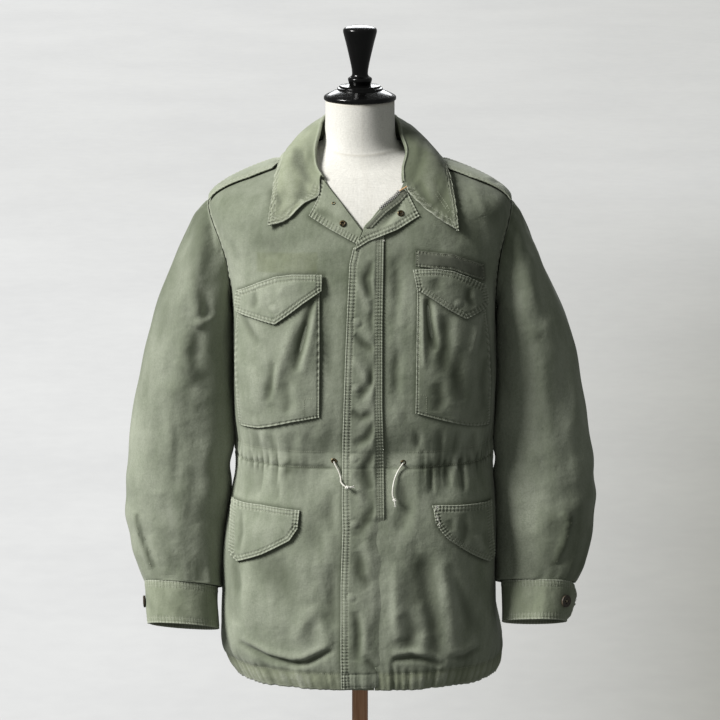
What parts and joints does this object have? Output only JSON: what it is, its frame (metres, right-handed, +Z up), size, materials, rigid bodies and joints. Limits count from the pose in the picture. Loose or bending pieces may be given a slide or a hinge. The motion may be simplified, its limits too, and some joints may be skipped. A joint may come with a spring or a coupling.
{
  "type": "field jacket on a dress form",
  "caption": "Olive cotton field jacket with flap pockets, fly front, turned collar and button cuffs, worn by a limbless dress form on a pole with a round base.",
  "frame": {"origin": "centre of the round base's underside", "axes": "+Z up, the jacket's front faces -Y, the wearer's left is +X"},
  "size_m": [0.687, 0.38, 1.6604],
  "materials": {
    "olive_cotton": "matte",
    "tape_cotton": "matte",
    "ivory_cloth": "matte",
    "cord": "matte",
    "button": "satin",
    "dark_metal": "satin",
    "black_wood": "gloss",
    "red_wood": "satin"
  },
  "bodies": {
    "root": {"front_right": "olive_cotton", "front_left": "olive_cotton", "back": "olive_cotton", "sleeve_right": "olive_cotton", "sleeve_left": "olive_cotton", "chest_pocket_right": "olive_cotton", "chest_pocket_left": "olive_cotton", "chest_flap_right": "olive_cotton", "chest_flap_left": "olive_cotton", "hip_flap_right": "olive_cotton", "hip_flap_left": "olive_cotton", "name_tape": "tape_cotton", "fly_flap": "olive_cotton", "lapel_right": "olive_cotton", "lapel_left": "olive_cotton", "zip_tape": "tape_cotton", "shoulder_strap_right": "olive_cotton", "shoulder_strap_left": "olive_cotton", "collar": "olive_cotton", "cuff_right": "olive_cotton", "cuff_left": "olive_cotton", "cuff_button_right": "button", "cuff_button_left": "button", "eyelet_right": "dark_metal", "eyelet_left": "dark_metal", "neck_snap_right": "dark_metal", "neck_snap_left": "dark_metal", "waist_cord_right": "cord", "waist_cord_left": "cord", "form_body": "ivory_cloth", "form_cap": "black_wood", "form_pole": "red_wood", "form_base": "black_wood"}
  },
  "joints": []
}
